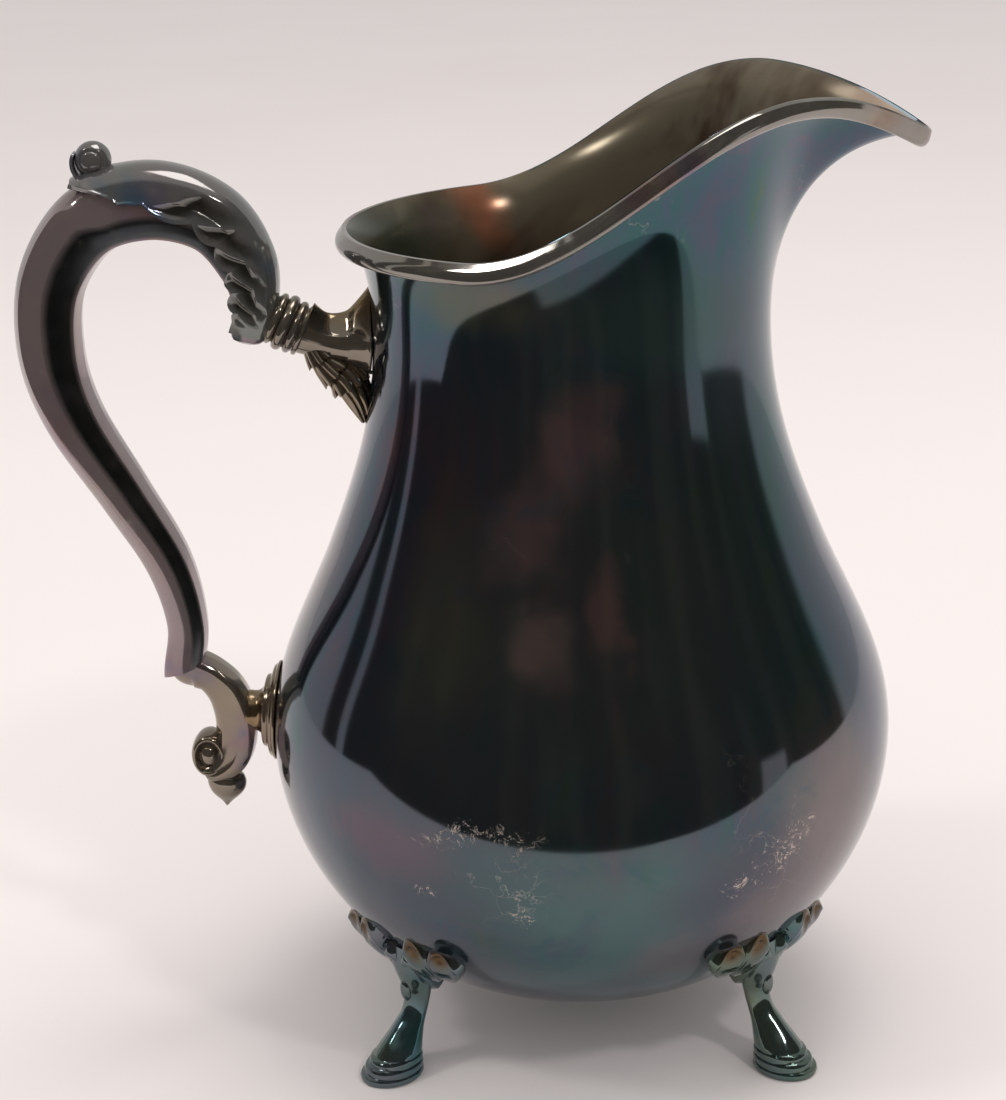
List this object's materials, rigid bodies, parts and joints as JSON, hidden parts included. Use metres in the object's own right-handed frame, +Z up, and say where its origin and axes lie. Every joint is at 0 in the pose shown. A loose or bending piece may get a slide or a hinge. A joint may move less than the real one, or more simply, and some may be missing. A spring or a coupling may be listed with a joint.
{
  "type": "silver water pitcher",
  "caption": "Pear-shaped footed water pitcher with a raised pouring lip, a scroll handle with an applied leaf, and cabriole feet.",
  "frame": {"origin": "middle of the bounding box in plan, on the surface that the feet stand on", "axes": "+X towards the spout, -X towards the handle, +Y to the left when looking along +X, +Z up along the body's axis"},
  "size_m": [0.213, 0.1496, 0.2271],
  "materials": {
    "body": "tarnished silver plate, blue-grey to near black, glossy",
    "rim": "lightly tarnished silver plate, glossy",
    "handle": "tarnished silver plate, purple-brown to dark green-grey, glossy",
    "leaf": "tarnished silver plate, olive-grey, glossy",
    "castings": "tarnished silver plate with gold-brown recesses, glossy",
    "feet": "tarnished silver plate, green-grey, glossy"
  },
  "bodies": {
    "root": {"body_shell": "body", "rim_moulding": "rim", "handle_half_front": "handle", "handle_half_back": "handle", "handle_leaf": "leaf", "thumb_ball": "leaf", "handle_collar": "castings", "upper_socket": "castings", "socket_leaf": "castings", "lower_scroll": "castings", "scroll_volute": "castings", "scroll_drop": "castings", "lower_escutcheon": "castings", "foot_front_spout": "feet", "foot_front_handle": "feet", "foot_back_spout": "feet", "foot_back_handle": "feet"}
  },
  "joints": []
}
